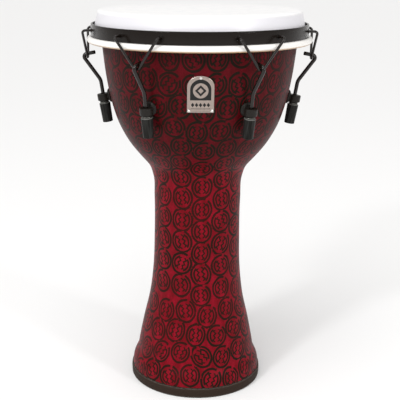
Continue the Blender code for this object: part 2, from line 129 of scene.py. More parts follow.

# Flesh hoop and counterhoop
FLESH_CENTRE = (0.1703, 0.5652)
FLESH_TUBE = 0.0050
FLESH_RINGS = 25
# Heights between which painted shade comes in along the flesh hoop's under side
UNDER_SHADE_EDGE = (0.5636, 0.5612)
BAND_RADIUS = 0.1690
BAND_WALL = 0.0030
BAND_BOTTOM = 0.5706
BAND_TOP = 0.5893
BAND_INNER_EDGE = 0.0006
BAND_OUTER_EDGE = 0.0011
BAND_DRILL = 0.008
HOLE_ANGLE = radians(11.5)
HOLE_HEIGHT = 0.5795
HOLE_RADIUS = 0.0026
EYELET_RADIUS = 0.0040
EYELET_LIFT = 0.0008
EYELET_ROOT = 0.0012

# Rod, hook, lug and nut, in a station's plane of (radius, height)
HOOK_WIRE = 0.0020
HOOK_INNER_END = 0.1662
HOOK_CORNER = 0.1828
HOOK_VERTEX = (0.1750, 0.5314)
HOOK_BENDS = (0.0045, 0.0058, 0.0045)
ROD_RADIUS = 0.0030
ROD_LEAN = radians(9.2)
ROD_POINT = (0.1515, 0.4725)
ROD_LOWER_END = 0.0320
ROD_KNEE = 0.0275
ROD_ELBOW = (0.1847, 0.5390)
ROD_TIP = (0.1642, 0.5430)
ROD_BENDS = (0.018, 0.0048)
THREAD_PITCH = 0.0010
THREAD_DEPTH = 0.00045
THREAD_LENGTH = 0.0370
THREAD_FADE = 0.002
THREAD_RINGS = 6.0  # rings in one pitch
EYE_RADIUS = 0.0098
EYE_HEIGHT = 0.0110
EYE_HOLE = 0.0037
EYE_FLARE = (0.0052, 0.0070)  # radius and height of its top
EYE_FLARE_DEPTH = 0.0006
BOSS_RADIUS = 0.0072
BOSS_HEIGHT = 0.0018
BASE_RADIUS = 0.0110
BASE_HEIGHT = 0.0042
BASE_TOP_SHARE = 0.74  # of the base's radius that its top has
BASE_EDGE_SHARE = 0.45  # of its height where its side begins
BASE_CENTRE = 0.4752
CAST_VOXEL = 0.00045
CAST_PASSES = 3
NUT_LENGTH = 0.0310
NUT_TOP_RADIUS = 0.0088
NUT_BOTTOM_RADIUS = 0.0080
NUT_NECK = 0.0035  # where its taper begins
NUT_NECK_SHARE = 0.992
NUT_BORE = 0.0036
NUT_LIP_HIGHLIGHT = (-0.0013, -0.0006)  # heights between which the painted highlight on its top lip comes in
KEY_SOCKET_RADIUS = 0.0052
KEY_SOCKET_DEPTH = 0.006
KEY_SOCKET_REACH = 0.005
WASHER_RADIUS = 0.0072
WASHER_HOLE = 0.0036
NUT_WASHER_HEIGHT = 0.0016

# Lug bolt, inside the shell
BOLT_WASHER_HEIGHT = 0.0014
BOLT_STANDOFF = 0.0018  # a flat washer on the curved wall
BOLT_HEAD_RADIUS = 0.0058
BOLT_HEAD_HEIGHT = 0.0040
BOLT_CHAMFER = 0.0008
BOLT_RADIUS = 0.0030
BOLT_ROOT = 0.001
BOLT_DEPTH = 0.0050

# Badge
BADGE_ANGLE = radians(-88.8)
BADGE_WIDTH = 0.0385
BADGE_BOTTOM = 0.4725
BADGE_TOP = 0.5265
BADGE_ARCH = 0.0150
BADGE_COLUMNS = 96
BADGE_ROWS = 120
BADGE_BACK = 0.0006  # above the shell
BADGE_PLATE = 0.0009
BADGE_RIM = 0.0030  # width of the raised rim
BADGE_RIM_LIFT = 0.0006
RIVET_INSET = 0.0028
RIVET_SEAT = 0.0021
RIVET_HEAD = (0.0024, 0.0013)  # radius and height
RIVET_RADIUS = 0.0012
RIVET_TAIL = 0.008

# Enamel of the badge, in millimetres from the plate's bottom middle
ENAMEL_BLUR = 0.12
FIELD_HALF = 15.0  # half the width of the dark arched field
FIELD_CENTRE = 34.0  # of its arch
FIELD_LOW = 18.5
DISC_CENTRE = 32.5
DISC_RADIUS = 11.0
DISC_DIAMOND = 8.2
DISC_CORE = 4.2
ROW_PITCH = 5.6
ROW_HEIGHT = 11.6
ROW_DIAMOND = (2.5, 3.3)
LINE_HALF = 14.0
LINE_HEIGHTS = (5.6, 6.3)

# Stage
FLOOR_SIZE = 300.0
FLOOR_DROP = 0.0002
SKY_STRENGTH = 0.68
SUN_STRENGTH = 1.35
SUN_SPREAD = radians(55.0)
SUN_PLACE = (-0.5, -1.2, 2.4)
SOFTBOX_SIZE = 0.35
SOFTBOXES = (("key", (-1.5, -1.9, 1.9), 22.0), ("fill", (1.9, -1.7, 1.3), 15.0))
LIGHT_TARGET = (0.0, 0.0, 0.35)
CAMERA_PLACE = (0.0, -1.3926, 0.6930)
CAMERA_YAW = 0.0393
CAMERA_PITCH = 0.2736
CAMERA_ROLL = 0.0016
CAMERA_LENS = 79.1
CAMERA_SENSOR = 36.0
CAMERA_SHIFT = 0.09


# ---- shader nodes

class Shader:
    """A node material whose nodes are made by short calls."""

    def __init__(self, name):
        self.material = bpy.data.materials.new(name)
        self.material.use_nodes = True
        self.tree = self.material.node_tree
        self.main = self.tree.nodes["Principled BSDF"]

    def node(self, kind, inputs=(), **settings):
        made = self.tree.nodes.new(kind)
        for key, value in settings.items():
            setattr(made, key, value)
        for key, value in dict(inputs).items():
            self.feed(made.inputs[key], value)
        return made

    def feed(self, socket, value):
        if isinstance(value, bpy.types.NodeSocket):
            self.tree.links.new(value, socket)
        else:
            socket.default_value = value

    def math(self, operation, *values):
        made = self.tree.nodes.new("ShaderNodeMath")
        made.operation = operation
        for socket, value in zip(made.inputs, values):
            self.feed(socket, value)
        return made.outputs[0]

    def plus(self, first, second):
        return self.math("ADD", first, second)

    def minus(self, first, second):
        return self.math("SUBTRACT", first, second)

    def times(self, first, second):
        return self.math("MULTIPLY", first, second)

    def scaled(self, value, factor, offset):
        return self.plus(self.times(value, factor), offset)

    def larger(self, first, second):
        return self.math("MAXIMUM", first, second)

    def apart(self, first, second):
        return self.math("ABSOLUTE", self.minus(first, second))

    def length(self, x, y):
        return self.math("SQRT", self.plus(self.times(x, x), self.times(y, y)))

    def smooth_step(self, value, low, high):
        """0 below low and 1 above high, or the reverse where low is the larger."""
        made = self.node("ShaderNodeMapRange", {0: value, 1: low, 2: high},
                         interpolation_type="SMOOTHSTEP")
        return made.outputs[0]

    def noise(self, scale, detail=3.0, roughness=0.5, vector=None, output=0):
        inputs = {"Scale": scale, "Detail": detail, "Roughness": roughness}
        if vector is not None:
            inputs["Vector"] = vector
        return self.node("ShaderNodeTexNoise", inputs).outputs[output]

    def mix(self, share, first, second):
        made = self.node("ShaderNodeMix", data_type="RGBA")
        self.feed(made.inputs[0], share)
        self.feed(made.inputs[6], first)
        self.feed(made.inputs[7], second)
        return made.outputs[2]

    def object_place(self):
        return self.node("ShaderNodeTexCoord").outputs["Object"]

    def height(self):
        return self.node("ShaderNodeSeparateXYZ", {0: self.object_place()}).outputs[2]

    def bump(self, height, distance, strength=1.0):
        inputs = {"Height": height, "Distance": distance, "Strength": strength}
        return self.node("ShaderNodeBump", inputs).outputs[0]

    def surface(self, **values):
        """Feed the shader's own sockets, named with underscores for spaces."""
        for key, value in values.items():
            self.feed(self.main.inputs[key.replace("_", " ")], value)
        return self.material


def colour(red, green, blue):
    return (red, green, blue, 1.0)


# ---- mesh helpers

def add_piece(name, mesh, material, body, node, matrix=HERE):
    """A new object that stands for a node of the model."""
    piece = bpy.data.objects.new(name, mesh)
    piece.matrix_world = matrix
    bpy.context.scene.collection.objects.link(piece)
    if material.name not in mesh.materials:
        mesh.materials.append(material)
    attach(piece, body)
    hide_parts(node)
    return piece


def add_at_stations(*parts):
    """Parts of every station: (piece, mesh, material, node, matrix, whether it moves by itself)."""
    for index in range(STATIONS):
        for piece, mesh, material, kind, matrix, moves in parts:
            node = f"{kind}_{index + 1}"
            add_piece(f"{piece}_{index + 1}", mesh, material, node if moves else "drum", node,
                      station_matrix(index) @ matrix)


def evaluated_mesh(item):
    bpy.context.view_layer.update()
    depsgraph = bpy.context.evaluated_depsgraph_get()
    mesh = bpy.data.meshes.new_from_object(item.evaluated_get(depsgraph))
    bpy.data.objects.remove(item, do_unlink=True)
    return mesh


def finish_mesh(mesh, angle=40.0):
    mesh.shade_smooth()
    mesh.set_sharp_from_angle(angle=radians(angle))
    return mesh


def turned_mesh(outline, sides):
    """Turn an outline of (radius, height), which runs down its outer side, about Z."""
    rings = len(outline)
    on_axis = [radius < 1e-7 for radius, _ in outline]
    closed = not on_axis[0]
    work = bmesh.new()
    grid = []
    for (radius, height), single in zip(outline, on_axis):
        if single:
            grid.append([work.verts.new((0.0, 0.0, height))] * sides)
            continue
        angles = [2.0 * pi * side / sides for side in range(sides)]
        grid.append([work.verts.new((radius * cos(a), radius * sin(a), height)) for a in angles])
    for ring in range(rings if closed else rings - 1):
        upper = grid[ring]
        lower = grid[(ring + 1) % rings]
        for side in range(sides):
            after = (side + 1) % sides
            corners = [upper[side], lower[side], lower[after], upper[after]]
            unique = list(dict.fromkeys(corners))
            if len(unique) > 2:
                work.faces.new(unique)
    mesh = bpy.data.meshes.new("turned")
    work.to_mesh(mesh)
    work.free()
    return mesh


def arc(centre, radius, start, end, steps):
    angles = np.linspace(start, end, steps)
    return [(centre[0] + radius * cos(a), centre[1] + radius * sin(a)) for a in angles]


def rounded_outline(corners, steps=5):
    """An outline of (radius, height, bend) corners, each rounded to its bend."""
    places = [Vector((radius, height)) for radius, height, _ in corners]
    path = []
    for index, (radius, height, bend) in enumerate(corners):
        if bend <= 0.0:
            path.append((radius, height))
            continue
        before = places[index - 1]
        after = places[(index + 1) % len(places)]
        path += [tuple(point) for point in fillet(before, places[index], after, bend, steps)]
    return path


def fillet(before, corner, after, bend, steps):
    """Points of the arc of radius bend that rounds a corner."""
    to_before = (before - corner).normalized()
    to_after = (after - corner).normalized()
    half = acos(max(-1.0, min(1.0, to_before.dot(to_after)))) / 2.0
    centre = corner + (to_before + to_after).normalized() * (bend / sin(half))
    start = corner + to_before * (bend / tan(half)) - centre
    end = corner + to_after * (bend / tan(half)) - centre
    sweep = start.angle(end)
    points = []
    for step in range(steps + 1):
        share = step / steps
        spoke = start * sin((1.0 - share) * sweep) + end * sin(share * sweep)
        points.append(centre + spoke / sin(sweep))
    return points


def filleted_path(points, bends, steps):
    path = [points[0]]
    for before, corner, after, bend in zip(points, points[1:], points[2:], bends):
        path += fillet(before, corner, after, bend, steps)
    path.append(points[-1])
    return path


def evenly(path, step):
    """Extra points along the long straight runs of a path."""
    result = [path[0]]
    for start, end in zip(path, path[1:]):
        count = max(1, round((end - start).length / step))
        result += [start.lerp(end, share / count) for share in range(1, count + 1)]
    return result


def swept_mesh(path, radius_at, sides, dome=0.35):
    """A bar along a path. radius_at(distance, angle) gives its radius; its ends are domed."""
    work = bmesh.new()
    travelled = [0.0]
    for start, end in zip(path, path[1:]):
        travelled.append(travelled[-1] + (end - start).length)
    ahead = (path[1] - path[0]).normalized()
    across = ahead.orthogonal().normalized()
    rings = []
    for index, point in enumerate(path):
        before = path[max(index - 1, 0)]
        after = path[min(index + 1, len(path) - 1)]
        new_ahead = (after - before).normalized()
        across = (across - new_ahead * across.dot(new_ahead)).normalized()
        sideways = new_ahead.cross(across)
        ring = []
        for side in range(sides):
            angle = 2.0 * pi * side / sides
            spoke = across * cos(angle) + sideways * sin(angle)
            ring.append(work.verts.new(point + spoke * radius_at(travelled[index], angle)))
        rings.append(ring)
    for lower, upper in zip(rings, rings[1:]):
        for side in range(sides):
            after = (side + 1) % sides
            work.faces.new([lower[side], lower[after], upper[after], upper[side]])
    for ring, point, beyond in ((rings[0], path[0], path[1]), (rings[-1], path[-1], path[-2])):
        outwards = (point - beyond).normalized()
        size = (ring[0].co - point).length
        inner = []
        for vert in ring:
            inner.append(work.verts.new(point + (vert.co - point) * 0.72 + outwards * size * dome))
        tip = work.verts.new(point + outwards * size * dome * 1.15)
        flip = ring is rings[-1]
        for side in range(sides):
            after = (side + 1) % sides
            wall = [ring[side], inner[side], inner[after], ring[after]]
            cap = [inner[side], tip, inner[after]]
            work.faces.new(wall[::-1] if flip else wall)
            work.faces.new(cap[::-1] if flip else cap)
    bmesh.ops.recalc_face_normals(work, faces=work.faces)
    mesh = bpy.data.meshes.new("swept")
    work.to_mesh(mesh)
    work.free()
    return mesh


def cut(mesh, cutters, operation="DIFFERENCE"):
    """Boolean the cutters, given as (mesh, matrix), with mesh."""
    item = bpy.data.objects.new("blank", mesh)
    bpy.context.scene.collection.objects.link(item)
    tools = []
    for shape, matrix in cutters:
        tool = bpy.data.objects.new("tool", shape)
        tool.matrix_world = matrix
        bpy.context.scene.collection.objects.link(tool)
        tools.append(tool)
        boolean = item.modifiers.new("Boolean", "BOOLEAN")
        boolean.operation = operation
        boolean.solver = "EXACT"
        boolean.object = tool
    result = evaluated_mesh(item)
    for tool in tools:
        bpy.data.objects.remove(tool, do_unlink=True)
    return result


def joined(parts):
    """One mesh of several (mesh, matrix) parts."""
    work = bmesh.new()
    for mesh, matrix in parts:
        copy = mesh.copy()
        copy.transform(matrix)
        work.from_mesh(copy)
        bpy.data.meshes.remove(copy)
    mesh = bpy.data.meshes.new("joined")
    work.to_mesh(mesh)
    work.free()
    return mesh


def cast_mesh(mesh, voxel, passes):
    """Melt overlapping parts into one body with soft corners, as a casting has."""
    item = bpy.data.objects.new("cast", mesh)
    bpy.context.scene.collection.objects.link(item)
    remesh = item.modifiers.new("Remesh", "REMESH")
    remesh.mode = "VOXEL"
    remesh.voxel_size = voxel
    soften = item.modifiers.new("Smooth", "SMOOTH")
    soften.factor = 0.5
    soften.iterations = passes
    return evaluated_mesh(item)


def bar(radius, low, high, sides):
    return turned_mesh([(0.0, high), (radius, high), (radius, low), (0.0, low)], sides)


# ---- the drum's own geometry

def shell_radius_function():
    """The shell's outer radius at a height, or at an array of heights."""
    heights = np.array([height for _, height in SHELL_CURVE])
    radii = np.array([radius for radius, _ in SHELL_CURVE])
    slopes = np.gradient(radii, heights)

    def radius_at(height):
        index = np.clip(np.searchsorted(heights, height) - 1, 0, len(heights) - 2)
        span = heights[index + 1] - heights[index]
        t = (height - heights[index]) / span
        ends = (2 * t**3 - 3 * t**2 + 1) * radii[index] + (3 * t**2 - 2 * t**3) * radii[index + 1]
        turns = (t**3 - 2 * t**2 + t) * slopes[index] + (t**3 - t**2) * slopes[index + 1]
        return ends + turns * span

    return radius_at


shell_radius = shell_radius_function()


def shell_slope(height):
    step = 0.001
    return (shell_radius(height + step) - shell_radius(height - step)) / (2.0 * step)


def station_matrix(index):
    return Matrix.Rotation(FIRST_STATION - index * 2.0 * pi / STATIONS, 4, "Z")


def rod_axis_point(distance):
    return (ROD_POINT[0] + distance * sin(ROD_LEAN), ROD_POINT[1] + distance * cos(ROD_LEAN))


def rod_axis_matrix(distance):
    radius, height = rod_axis_point(distance)
    return Matrix.Translation((radius, 0.0, height)) @ Matrix.Rotation(ROD_LEAN, 4, "Y")


def bolt_axis_matrix():
    lean = pi / 2.0 + atan2(shell_slope(BASE_CENTRE), 1.0)
    seat = Matrix.Translation((shell_radius(BASE_CENTRE), 0.0, BASE_CENTRE))
    return seat @ Matrix.Rotation(lean, 4, "Y")


def badge_matrix(across, height):
    """A frame on the shell under the badge, with Z along the outward normal."""
    radius = shell_radius(height)
    angle = BADGE_ANGLE + across / radius
    lean = pi / 2.0 + atan2(shell_slope(height), 1.0)
    seat = Matrix.Translation((radius * cos(angle), radius * sin(angle), height))
    return seat @ Matrix.Rotation(angle, 4, "Z") @ Matrix.Rotation(lean, 4, "Y")


# ---- materials

def printed_shell_material():
    """Mottled crimson with dark medallions, under a satin lacquer; painted shade darkens the bowl."""
    made = Shader("printed_shell")
    local = made.node("ShaderNodeUVMap", uv_map="motif").outputs[0]
    warp = made.noise(95.0, 2.0, 0.5, made.object_place(), 1)
    shifted = made.node("ShaderNodeVectorMath", {0: warp, 1: (0.5, 0.5, 0.5)}, operation="SUBTRACT")
    nudged = made.node("ShaderNodeVectorMath", {0: shifted.outputs[0], "Scale": 0.13}, operation="SCALE")
    place = made.node("ShaderNodeVectorMath", {0: local, 1: nudged.outputs[0]}, operation="ADD")
    parts = made.node("ShaderNodeSeparateXYZ", {0: place.outputs[0]})
    x = parts.outputs[0]
    y = parts.outputs[1]
    distance = made.length(x, y)
    around = made.math("ARCTAN2", y, x)

    def ring(radius, half_width):
        off = made.apart(distance, radius)
        return made.smooth_step(off, half_width + LINE_BLUR, half_width - LINE_BLUR)

    def zigzag(centre, phase, low, high):
        wave = made.math("PINGPONG", made.plus(made.times(y, ZIGZAG_FOLDS), phase), 1.0)
        line = made.plus(made.times(wave, ZIGZAG_SWING), centre - ZIGZAG_SWING / 2.0)
        off = made.apart(x, line)
        stroke = made.smooth_step(off, ZIGZAG_HALF + LINE_BLUR, ZIGZAG_HALF - LINE_BLUR)
        above = made.smooth_step(y, low - LINE_BLUR, low + LINE_BLUR)
        below = made.smooth_step(y, high + LINE_BLUR, high - LINE_BLUR)
        return made.times(stroke, made.times(above, below))

    gap = made.smooth_step(made.apart(around, RING_GAP), 0.10, 0.16)
    outer = made.times(ring(*OUTER_RING), gap)
    side_arcs = made.smooth_step(made.math("ABSOLUTE", made.math("SINE", around)), 0.86, 0.80)
    inner = made.times(ring(*INNER_RING), side_arcs)
    ink = made.larger(outer, inner)
    for numbers in ZIGZAGS:
        ink = made.larger(ink, zigzag(*numbers))

    rough_ink = made.noise(420.0, 3.0, 0.6)
    worn = made.smooth_step(rough_ink, 0.30, 0.46)
    faded = made.smooth_step(made.noise(9.0, 2.0, 0.5, made.object_place()), 0.36, 0.60)
    ink = made.times(ink, made.plus(made.times(worn, 0.08), 0.92))
    ink = made.times(ink, made.plus(made.times(faded, 0.12), 0.88))

    clouds = made.noise(26.0, 4.0, 0.6)
    grain = made.noise(330.0, 3.0, 0.7)
    deep_red = colour(0.138, 0.0012, 0.0051)
    bright_red = colour(0.239, 0.0026, 0.013)
    speckle = colour(0.0435, 0.0043, 0.0043)
    shade = colour(0.0087, 0.0017, 0.0014)
    ink_black = colour(0.0051, 0.0058, 0.0026)
    ground = made.mix(made.smooth_step(clouds, 0.30, 0.72), deep_red, bright_red)
    ground = made.mix(made.times(made.smooth_step(grain, 0.46, 0.70), 0.50), ground, speckle)
    # Painted shade: from the stem up into the bowl the ground is darkened towards a near-black brown.
    height = made.height()
    level = made.plus(height, made.times(made.minus(clouds, 0.5), 0.05))
    bowl = made.smooth_step(level, *BOWL_SHADE)
    ground = made.mix(made.times(bowl, 0.60), ground, shade)
    coloured = made.mix(made.times(ink, 0.97), ground, ink_black)
    orange_peel = made.noise(700.0, 2.0, 0.5)
    relief = made.plus(made.times(orange_peel, 0.4), made.times(ink, 0.25))
    return made.surface(
        Base_Color=coloured,
        Roughness=made.scaled(clouds, 0.16, 0.34),
        Specular_IOR_Level=0.07,
        Normal=made.bump(relief, 0.00012, 0.6))


def shell_inside_material():
    """Bare fibre-reinforced plastic: dark, with a coarse woven print-through."""
    made = Shader("shell_inside")
    place = made.object_place()
    fibre = made.node("ShaderNodeTexWave", {"Vector": place, "Scale": 90.0, "Distortion": 6.0,
                                            "Detail": 3.0, "Detail Scale": 3.0}).outputs[1]
    patches = made.noise(40.0, 4.0, 0.6)
    tone = made.mix(patches, colour(0.030, 0.022, 0.017), colour(0.075, 0.055, 0.040))
    tone = made.mix(made.times(fibre, 0.4), tone, colour(0.10, 0.08, 0.06))
    return made.surface(Base_Color=tone,
                        Roughness=made.scaled(patches, 0.2, 0.55),
                        Normal=made.bump(fibre, 0.0004, 0.7))


def film_material():
    """White film, its playing face coated with a fine sprayed grain; its collar greyer, partly bare film
    and partly painted shade.
    """
    made = Shader("drum_film")
    spray = made.noise(1400.0, 2.0, 0.6)
    patches = made.noise(18.0, 3.0, 0.5)
    collar = made.smooth_step(made.height(), *COAT_EDGE)
    face = made.mix(made.smooth_step(patches, 0.35, 0.7), colour(0.84, 0.835, 0.83),
                    colour(0.79, 0.79, 0.795))
    # Partly painted shade: the collar's greyer tone stands both for the bare film and for the shade on the
    # sloping collar.
    tone = made.mix(collar, face, colour(0.72, 0.71, 0.745))
    coat = made.minus(1.0, collar)
    return made.surface(Base_Color=tone,
                        Roughness=made.scaled(coat, 0.22, 0.36),
                        Subsurface_Weight=0.15,
                        Subsurface_Radius=(0.004, 0.004, 0.004),
                        Subsurface_Scale=1.0,
                        Normal=made.bump(made.times(spray, coat), 0.00010, 0.5))


def white_hoop_material():
    """Glossy white, with painted shade, darker and tan, along its under side."""
    made = Shader("white_hoop")
    height = made.height()
    blotches = made.noise(60.0, 4.0, 0.65)
    edge = made.plus(height, made.times(made.minus(blotches, 0.5), 0.0030))
    # Painted shade: the hoop's under side turns a darker tan.
    under = made.smooth_step(edge, *UNDER_SHADE_EDGE)
    tone = made.mix(under, colour(0.86, 0.84, 0.81), colour(0.46, 0.29, 0.15))
    return made.surface(Base_Color=tone,
                        Roughness=made.scaled(blotches, 0.2, 0.22),
                        Normal=made.bump(blotches, 0.0004, 0.35))


def black_enamel_material(name, roughness, specular, specks):
    """Black enamel with a faint orange peel and fine dust."""
    made = Shader(name)
    peel = made.noise(240.0, 2.0, 0.5)
    dust = made.smooth_step(made.noise(1500.0, 2.0, 0.7), 0.62, 0.72)
    tone = made.mix(made.times(dust, specks), colour(0.0072, 0.0046, 0.0033),
                    colour(0.052, 0.0468, 0.0416))
    smears = made.smooth_step(made.noise(35.0, 4.0, 0.6), 0.35, 0.7)
    return made.surface(Base_Color=tone,
                        Roughness=made.scaled(smears, 0.10, roughness),
                        Specular_IOR_Level=specular,
                        Normal=made.bump(peel, 0.00018, 0.35))


def black_casting_material():
    """Satin black paint over the slightly pitted skin of a casting."""
    made = Shader("black_casting")
    pits = made.noise(900.0, 3.0, 0.6)
    swell = made.noise(170.0, 2.0, 0.5)
    relief = made.plus(made.times(pits, 0.5), swell)
    tone = made.mix(swell, colour(0.0058, 0.0051, 0.0043), colour(0.0145, 0.0116, 0.0087))
    return made.surface(Base_Color=tone,
                        Specular_IOR_Level=0.20,
                        Roughness=made.scaled(swell, 0.18, 0.30),
                        Normal=made.bump(relief, 0.00020, 0.5))


def dark_steel_material():
    """Dark plated steel: fine turning lines, and a painted highlight on the lip at the top."""
    made = Shader("dark_steel")
    place = made.object_place()
    turned = made.node("ShaderNodeMapping", {"Vector": place, "Scale": (60.0, 60.0, 2600.0)})
    lines = made.noise(1.0, 2.0, 0.5, turned.outputs[0])
    streaks = made.node("ShaderNodeMapping", {"Vector": place, "Scale": (420.0, 420.0, 30.0)})
    stains = made.noise(1.0, 3.0, 0.6, streaks.outputs[0])
    height = made.node("ShaderNodeSeparateXYZ", {0: place}).outputs[2]
    wobble = made.times(made.minus(made.noise(300.0), 0.5), 0.0008)
    lip = made.smooth_step(made.plus(height, wobble), *NUT_LIP_HIGHLIGHT)
    tone = made.mix(made.smooth_step(stains, 0.35, 0.68), colour(0.0087, 0.008, 0.0072),
                    colour(0.0261, 0.0261, 0.0247))
    # Painted highlight: a light grey ring on the nut's top lip.
    tone = made.mix(made.times(lip, 0.7), tone, colour(0.203, 0.203, 0.189))
    return made.surface(Base_Color=tone, Metallic=0.25,
                        Specular_IOR_Level=0.08,
                        Roughness=made.scaled(lines, 0.20, 0.32),
                        Normal=made.bump(lines, 0.00006, 0.4))


def zinc_material():
    """Zinc plate with a cloudy, faintly yellow passivation."""
    made = Shader("zinc_steel")
    clouds = made.noise(220.0, 4.0, 0.6)
    tone = made.mix(clouds, colour(0.102, 0.102, 0.104), colour(0.232, 0.225, 0.196))
    return made.surface(Base_Color=tone, Metallic=1.0,
                        Roughness=made.scaled(clouds, 0.25, 0.25),
                        Normal=made.bump(clouds, 0.00008, 0.4))


def rubber_material():
    """Worn brown-black rubber, scuffed grey along its floor edge, with a painted highlight of the same grey
    along its top edge.
    """
    made = Shader("rubber")
    skin = made.noise(520.0, 4.0, 0.65)
    rubber_patches = made.noise(48.0, 5.0, 0.7)
    height = made.height()
    painted_top_highlight = made.smooth_step(height, *TOP_EDGE_HIGHLIGHT)
    floor_edge = made.smooth_step(height, *SCUFFED_FLOOR)
    # This mask is both real scuffs along the floor edge and a painted highlight along the top edge.
    worn = made.times(made.larger(painted_top_highlight, floor_edge),
                     made.smooth_step(rubber_patches, 0.38, 0.62))
    tone = made.mix(rubber_patches, colour(0.013, 0.0072, 0.0043), colour(0.0377, 0.0217, 0.0145))
    tone = made.mix(made.times(worn, 0.6), tone, colour(0.123, 0.109, 0.0957))
    return made.surface(Base_Color=tone,
                        Roughness=made.scaled(skin, 0.2, 0.58),
                        Specular_IOR_Level=0.15,
                        Normal=made.bump(skin, 0.00025, 0.6))


def badge_material():
    """Champagne metal with dark enamel fields: a disc with a diamond, and a row of diamonds."""
    made = Shader("badge_metal")
    plate = made.node("ShaderNodeUVMap", uv_map="plate").outputs[0]
    parts = made.node("ShaderNodeSeparateXYZ", {0: plate})
    x = parts.outputs[0]
    y = parts.outputs[1]

    def inside(distance):
        """1 where distance, in millimetres, is below zero."""
        return made.smooth_step(distance, ENAMEL_BLUR, -ENAMEL_BLUR)

    def diamond(centre_x, centre_y, half_width, half_height):
        across = made.math("DIVIDE", made.apart(x, centre_x), half_width)
        along = made.math("DIVIDE", made.apart(y, centre_y), half_height)
        size = min(half_width, half_height)
        beyond = made.minus(made.plus(across, along), 1.0)
        return inside(made.times(beyond, size))

    def disc(centre_y, radius):
        reach = made.length(x, made.minus(y, centre_y))
        return inside(made.minus(reach, radius))

    def band(value, low, high):
        return made.times(made.smooth_step(value, low - ENAMEL_BLUR, low + ENAMEL_BLUR),
                          made.smooth_step(value, high + ENAMEL_BLUR, high - ENAMEL_BLUR))

    arch = disc(FIELD_CENTRE, FIELD_HALF)
    below = made.times(band(x, -FIELD_HALF, FIELD_HALF), band(y, FIELD_LOW, FIELD_CENTRE))
    field = made.larger(arch, below)
    medal = disc(DISC_CENTRE, DISC_RADIUS)
    hollow = diamond(0.0, DISC_CENTRE, DISC_DIAMOND, DISC_DIAMOND)
    core = diamond(0.0, DISC_CENTRE, DISC_CORE, DISC_CORE)
    light = made.larger(made.times(medal, made.minus(1.0, hollow)), core)
    dark = made.times(field, made.minus(1.0, light))
    for column in range(-2, 3):
        dark = made.larger(dark, diamond(column * ROW_PITCH, ROW_HEIGHT, *ROW_DIAMOND))
    dark = made.larger(dark, made.times(band(x, -LINE_HALF, LINE_HALF), band(y, *LINE_HEIGHTS)))
    place = made.object_place()
    brushed = made.node("ShaderNodeMapping", {"Vector": place, "Scale": (2600.0, 300.0, 160.0)})
    lines = made.noise(1.0, 2.0, 0.5, brushed.outputs[0])
    metal = made.mix(lines, colour(0.261, 0.215, 0.191), colour(0.435, 0.362, 0.322))
    return made.surface(
        Base_Color=made.mix(dark, metal, colour(0.0116, 0.0116, 0.0116)),
        Metallic=made.minus(0.85, made.times(dark, 0.85)),
        Specular_IOR_Level=0.20,
        Roughness=made.scaled(lines, 0.12, 0.30),
        Normal=made.bump(made.minus(1.0, dark), 0.00025, 0.8))


def rivet_material():
    """Bright, finely scratched metal."""
    made = Shader("rivet_metal")
    marks = made.noise(900.0, 3.0, 0.6)
    return made.surface(Base_Color=made.mix(marks, colour(0.62, 0.60, 0.57), colour(0.78, 0.76, 0.72)),
                        Metallic=1.0,
                        Roughness=made.scaled(marks, 0.18, 0.16),
                        Normal=made.bump(marks, 0.00005, 0.4))


# ---- the shell and its print

def print_centres():
    """The medallions: (angle, distance along the wall) of each, and its tilt, width and height.

    They start in even rows, as many to a row as its girth takes. On the stem the columns slip
    against each other. Then those that stand too near push each other apart.
    """
    draw = np.random.default_rng(PRINT_SEED)
    heights = np.linspace(CURVE_LOW, CURVE_HIGH, WALL_SAMPLES)
    radii = shell_radius(heights)
    arcs = np.concatenate([[0.0], np.cumsum(np.hypot(np.diff(heights), np.diff(radii)))])
    stem = round(2.0 * pi * radii.min() / PRINT_PITCH)
    slips = draw.uniform(-STEM_SLIP, STEM_SLIP, stem)
    angles = []
    alongs = []
    for along in np.arange(PRINT_ROW * PRINT_FIRST_ROW, arcs[-1], PRINT_ROW):
        count = round(2.0 * pi * float(np.interp(along, arcs, radii)) / PRINT_PITCH)
        for column in range(count):
            slip = slips[column] if count == stem else draw.uniform(-BOWL_SLIP, BOWL_SLIP)
            angles.append(2.0 * pi * column / count + SLIP_TURN * slip)
            alongs.append(along + slip * PRINT_ROW)
    angles = np.array(angles)
    alongs = np.array(alongs)
    for _ in range(PRINT_PUSHES):
        radius = np.interp(alongs, arcs, radii)
        across = (angles[:, None] - angles[None, :] + pi) % (2.0 * pi) - pi
        across = across * (radius[:, None] + radius[None, :]) / 2.0
        up = alongs[:, None] - alongs[None, :]
        apart = np.hypot(across, up) + np.eye(len(angles))
        push = np.clip(PRINT_REACH - apart, 0.0, None) * PRINT_PUSH_SHARE / apart
        angles = angles + (push * across).sum(axis=1) / radius
        alongs = alongs + (push * up).sum(axis=1)
        alongs = np.clip(alongs, PRINT_MARGIN, arcs[-1] - PRINT_MARGIN)
    count = len(angles)
    shapes = np.column_stack([draw.normal(*PRINT_TILT, count), draw.uniform(*PRINT_WIDTHS, count),
                              draw.uniform(*PRINT_HEIGHTS, count)])
    level = np.interp(alongs, arcs, heights)
    radius = shell_radius(level)
    places = np.column_stack([radius * np.cos(angles), radius * np.sin(angles), level])
    return angles, alongs, shapes, places, heights, arcs


